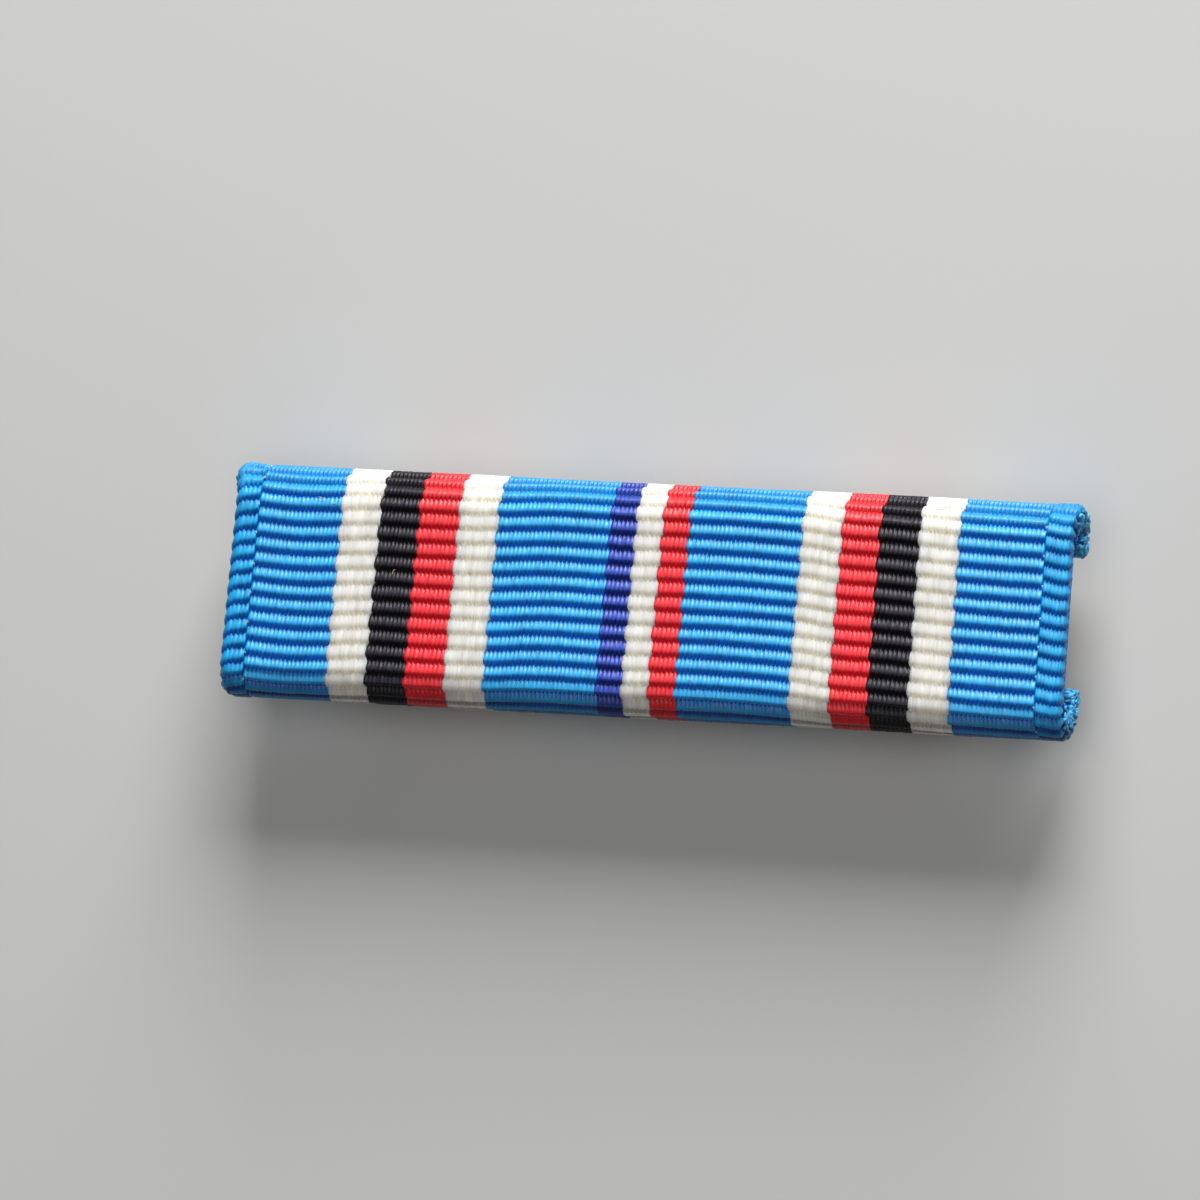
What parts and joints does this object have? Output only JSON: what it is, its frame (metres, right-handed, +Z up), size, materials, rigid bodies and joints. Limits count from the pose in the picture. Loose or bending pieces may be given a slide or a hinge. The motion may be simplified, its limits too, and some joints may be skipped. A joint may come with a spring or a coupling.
{
  "type": "ribbon bar",
  "caption": "Single service ribbon bar: striped, ribbed ribbon wrapped round a thin metal bar, with a pin clasp behind.",
  "frame": {"origin": "on the surface it lies on, under the middle of the bar, whose clasp rests there", "axes": "+X to the right along the bar as its face is seen, +Y to its top edge, +Z up out of its face"},
  "size_m": [0.0348, 0.0094, 0.0049],
  "materials": {
    "ribbon_cloth": "ribbed silk-like weave with a soft sheen; stripes of azure blue, white, black, red and dark blue",
    "bar_metal": "satin, slightly tarnished",
    "clasp_metal": "satin nickel plate"
  },
  "bodies": {
    "root": {"ribbon": "ribbon_cloth", "back_plate": "bar_metal", "pin_clasp": "clasp_metal"}
  },
  "joints": []
}
